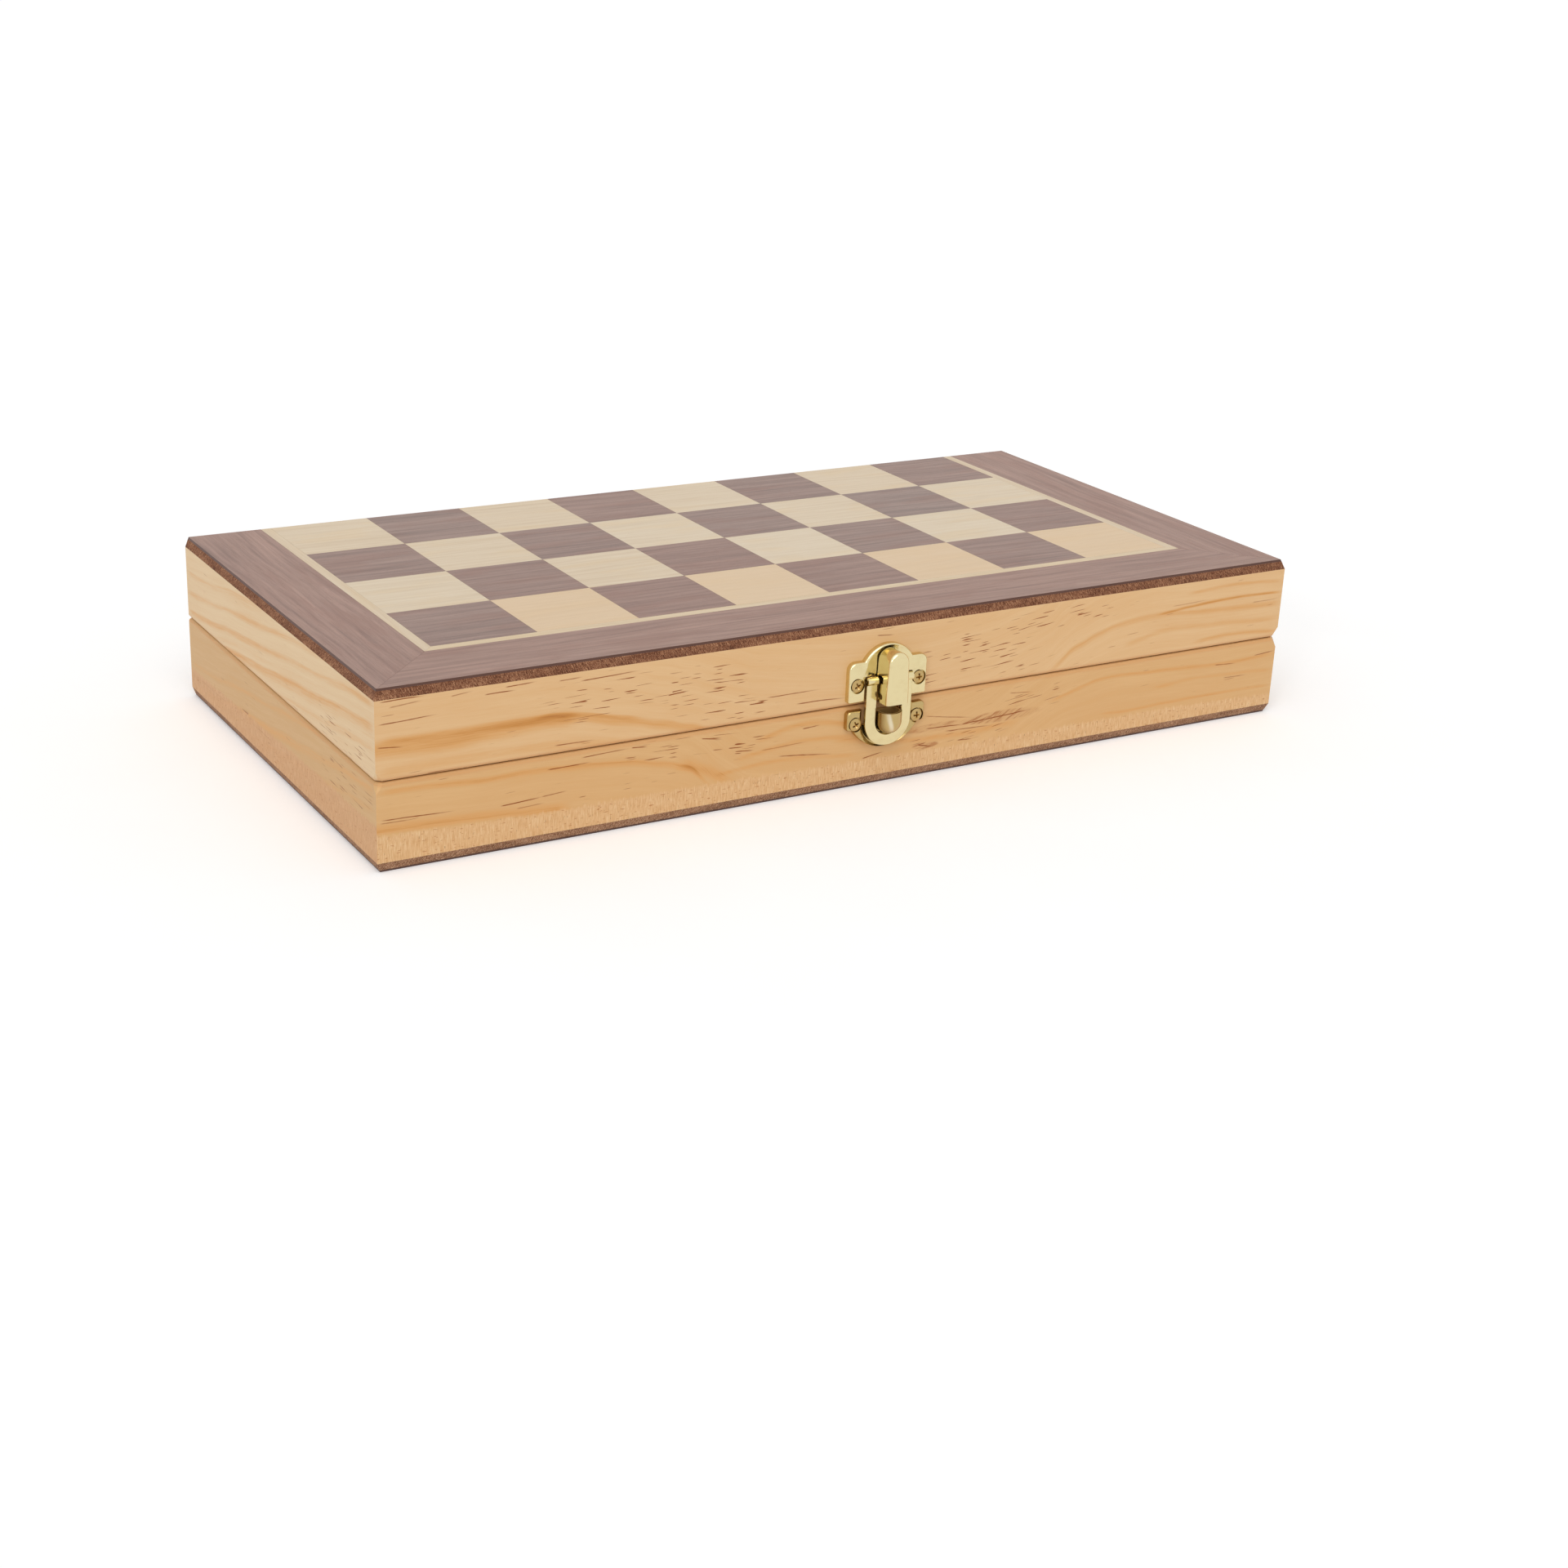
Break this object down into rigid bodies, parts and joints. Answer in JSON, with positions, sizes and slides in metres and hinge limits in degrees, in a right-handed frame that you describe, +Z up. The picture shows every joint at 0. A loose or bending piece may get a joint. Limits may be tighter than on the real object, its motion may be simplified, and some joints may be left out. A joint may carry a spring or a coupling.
{
  "type": "folding chess board",
  "caption": "Folding wooden chess board that closes into a flat pine box, with inlaid squares outside, butt hinges along the fold and a brass toggle latch in front.",
  "frame": {"origin": "centre of the bottom face of the closed board", "axes": "+X along the fold and the long side, +Y towards the hinges, so the latch faces -Y, +Z up"},
  "size_m": [0.2916, 0.1553, 0.0486],
  "materials": {
    "pine": "clear satin lacquer over light pine",
    "fibreboard": "sawn and stained fibreboard edge",
    "walnut_veneer": "satin lacquered walnut veneer",
    "maple_veneer": "satin lacquered maple veneer",
    "felt": "short-napped felt",
    "polished_brass": "polished and lacquered pale brass plating",
    "brass_screws": "brass plated steel"
  },
  "bodies": {
    "lower_half": {"latch_keeper": "polished_brass", "latch_keeper_screws": "brass_screws", "left_hinge_lower_leaf": "polished_brass", "left_hinge_pin": "polished_brass", "lower_back_wall": "pine", "lower_border_front": "walnut_veneer", "lower_border_left": "walnut_veneer", "lower_border_right": "walnut_veneer", "lower_dark_squares": "walnut_veneer", "lower_felt_lining": "felt", "lower_front_wall": "pine", "lower_hinge_screws": "brass_screws", "lower_left_wall": "pine", "lower_light_squares": "maple_veneer", "lower_panel_core": "fibreboard", "lower_right_wall": "pine", "lower_stringing_front": "maple_veneer", "lower_stringing_left": "maple_veneer", "lower_stringing_right": "maple_veneer", "right_hinge_lower_leaf": "polished_brass", "right_hinge_pin": "polished_brass"},
    "upper_half": {"latch_base_plate": "polished_brass", "latch_base_screws": "brass_screws", "left_hinge_upper_leaf": "polished_brass", "right_hinge_upper_leaf": "polished_brass", "upper_back_wall": "pine", "upper_border_front": "walnut_veneer", "upper_border_left": "walnut_veneer", "upper_border_right": "walnut_veneer", "upper_dark_squares": "walnut_veneer", "upper_felt_lining": "felt", "upper_front_wall": "pine", "upper_hinge_screws": "brass_screws", "upper_left_wall": "pine", "upper_light_squares": "maple_veneer", "upper_panel_core": "fibreboard", "upper_right_wall": "pine", "upper_stringing_front": "maple_veneer", "upper_stringing_left": "maple_veneer", "upper_stringing_right": "maple_veneer"},
    "latch_lever": {"latch_lever": "polished_brass", "latch_lever_pin": "polished_brass"},
    "latch_loop_pin": {"latch_loop_pin": "polished_brass"},
    "latch_loop": {"latch_loop": "polished_brass"}
  },
  "joints": [
    {"name": "lid_hinge", "type": "hinge", "parent": "lower_half", "child": "upper_half", "pos_m": [0, 0.07305, 0.0243], "axis": [-1, 0, 0], "range_deg": [0, 180]},
    {"name": "latch_lever_pivot", "type": "hinge", "parent": "upper_half", "child": "latch_lever", "pos_m": [0.003, -0.0767, 0.0273], "axis": [1, 0, 0], "range_deg": [0, 110]},
    {"name": "latch_loop_pin_turn", "type": "hinge", "parent": "latch_lever", "child": "latch_loop_pin", "pos_m": [0.003, -0.0752, 0.0316], "axis": [1, 0, 0], "range_deg": [-110, 0]},
    {"name": "latch_loop_swing", "type": "hinge", "parent": "latch_loop_pin", "child": "latch_loop", "pos_m": [0.003, -0.0752, 0.0316], "axis": [-1, 0, 0], "range_deg": [0, 150]}
  ],
  "couplings": [
    {"joint": "latch_loop_pin_turn", "follows": "latch_lever_pivot", "ratio": -1}
  ]
}
